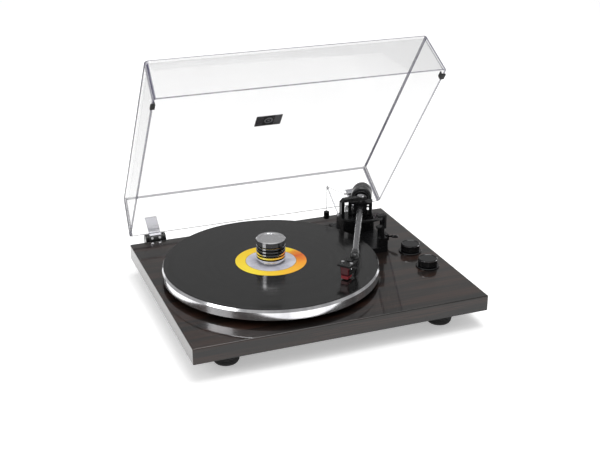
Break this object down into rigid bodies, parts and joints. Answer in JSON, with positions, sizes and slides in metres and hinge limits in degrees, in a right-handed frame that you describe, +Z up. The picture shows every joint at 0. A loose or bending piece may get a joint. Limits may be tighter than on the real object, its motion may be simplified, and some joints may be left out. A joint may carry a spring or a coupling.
{
  "type": "turntable record player",
  "caption": "Belt-driven record player: gloss wood plinth, heavy platter with a record, pivoted tonearm with lift and anti-skating weight, round knobs and a hinged clear lid.",
  "frame": {"origin": "centre of the overall box at the height the feet stand on, lid open as at rest", "axes": "+X to the tonearm side, +Y to the back and the lid's hinges, +Z up"},
  "size_m": [0.417, 0.3992, 0.3622],
  "materials": {
    "walnut": "mirror-gloss lacquer over dark figured walnut",
    "cover_board": "matt black paint",
    "rubber": "matt",
    "platter_metal": "polished",
    "drive_plastic": "matt",
    "steel": "fine ground",
    "brass": "machined",
    "motor_steel": "satin",
    "vinyl": "grooved gloss",
    "label_paper": "matt paper",
    "chrome": "polished",
    "knob_black": "gloss",
    "arm_metal": "satin",
    "arm_black": "satin black",
    "weight_black": "satin dark grey",
    "shell_black": "satin",
    "cartridge_black": "gloss",
    "stylus_red": "gloss",
    "thread": "fine",
    "clear": "clear acrylic",
    "hinge_black": "satin",
    "blade_steel": "satin",
    "badge_grey": "satin",
    "card_green": "matt"
  },
  "bodies": {
    "root": {"plinth": "walnut", "bottom_cover": "cover_board", "foot_front_left": "rubber", "foot_front_right": "rubber", "foot_back_left": "rubber", "foot_back_right": "rubber", "foot_bolts": "steel", "bearing_bush": "brass", "bearing_ball": "steel", "motor": "motor_steel", "belt": "rubber", "knob_rings": "knob_black", "knob_pots": "drive_plastic", "arm_board": "arm_black", "arm_pillar": "arm_black", "yoke": "arm_black", "yaw_pivots": "steel", "skate_hook": "steel", "arm_rest": "shell_black", "lift_housing": "arm_black", "hinge_bases": "hinge_black", "hinge_pins": "steel", "hinge_base_screws": "steel", "rear_panel": "cover_board", "signal_jacks": "brass", "ground_post": "brass", "power_inlet": "drive_plastic", "circuit_board": "card_green"},
    "platter_group": {"platter": "platter_metal", "sub_platter": "drive_plastic", "spindle": "steel", "record": "vinyl", "record_label": "label_paper"},
    "stabiliser_body": {"stabiliser": "chrome"},
    "pulley_body": {"pulley": "brass"},
    "knob_back_body": {"knob_back": "knob_black"},
    "knob_front_body": {"knob_front": "knob_black"},
    "yaw_body": {"gimbal": "arm_black", "pivot_pins": "steel"},
    "arm_body": {"arm_hub": "arm_black", "arm_tube": "arm_metal", "arm_collar": "arm_metal", "headshell": "shell_black", "headshell_screws": "chrome", "finger_lift": "arm_metal", "cartridge": "cartridge_black", "stylus": "stylus_red"},
    "weight_body": {"counterweight": "weight_black"},
    "dial_body": {"tracking_dial": "arm_black"},
    "skate_body": {"skate_weight": "arm_black", "thread_drop": "thread"},
    "lift_bar_body": {"lift_bar": "arm_black"},
    "cue_lever_body": {"cue_lever": "arm_black"},
    "lid_body": {"lid": "clear", "hinge_leaves": "hinge_black", "hinge_sockets": "clear", "hinge_leaf_screws": "chrome", "lid_bumpers": "rubber", "lid_badge": "badge_grey"}
  },
  "joints": [
    {"name": "lid_hinge", "type": "hinge", "parent": "root", "child": "lid_body", "pos_m": [0, 0.15391, 0.046], "axis": [-1, 0, 0], "range_deg": [-53.14, 0]},
    {"name": "platter_spin", "type": "hinge", "parent": "root", "child": "platter_group", "pos_m": [-0.0457, -0.03239, 0.047], "axis": [0, 0, 1], "continuous": true},
    {"name": "pulley_spin", "type": "hinge", "parent": "root", "child": "pulley_body", "pos_m": [-0.13581, -0.09549, 0.047], "axis": [0, 0, 1], "continuous": true},
    {"name": "stabiliser_lift", "type": "slide", "parent": "platter_group", "child": "stabiliser_body", "axis": [0, 0, 1], "range_m": [0, 0.05]},
    {"name": "knob_front_turn", "type": "hinge", "parent": "root", "child": "knob_front_body", "pos_m": [0.1745, -0.08429, 0.047], "axis": [0, 0, 1], "range_deg": [-45, 45]},
    {"name": "knob_back_turn", "type": "hinge", "parent": "root", "child": "knob_back_body", "pos_m": [0.1745, -0.02819, 0.047], "axis": [0, 0, 1], "range_deg": [0, 60]},
    {"name": "arm_yaw", "type": "hinge", "parent": "root", "child": "yaw_body", "pos_m": [0.132, 0.05941, 0.047], "axis": [0, 0, -1], "range_deg": [-26.4, 19]},
    {"name": "arm_pitch", "type": "hinge", "parent": "yaw_body", "child": "arm_body", "pos_m": [0.132, 0.05941, 0.092], "axis": [-0.8957, 0.4446, 0], "range_deg": [0, 3.6]},
    {"name": "counterweight_turn", "type": "hinge", "parent": "arm_body", "child": "weight_body", "pos_m": [0.132, 0.05941, 0.092], "axis": [-0.4446, -0.8957, 0], "range_deg": [-180, 180]},
    {"name": "dial_turn", "type": "hinge", "parent": "arm_body", "child": "dial_body", "pos_m": [0.132, 0.05941, 0.092], "axis": [-0.4446, -0.8957, 0], "range_deg": [-90, 90]},
    {"name": "skate_slide", "type": "slide", "parent": "root", "child": "skate_body", "axis": [0, 0, 1], "range_m": [-0.0045, 0.0032]},
    {"name": "lift_slide", "type": "slide", "parent": "root", "child": "lift_bar_body", "axis": [0, 0, 1], "range_m": [0, 0.0026]},
    {"name": "cue_lever_turn", "type": "hinge", "parent": "root", "child": "cue_lever_body", "pos_m": [0.148, 0.00741, 0.0595], "axis": [-1, 0, 0], "range_deg": [0, 72]}
  ],
  "couplings": [
    {"joint": "pulley_spin", "follows": "platter_spin", "ratio": 10.714},
    {"joint": "skate_slide", "follows": "arm_yaw", "m_per_rad": 0.0092},
    {"joint": "cue_lever_turn", "follows": "arm_pitch", "ratio": 19.5},
    {"joint": "lift_slide", "follows": "arm_pitch", "m_per_rad": 0.0392}
  ]
}
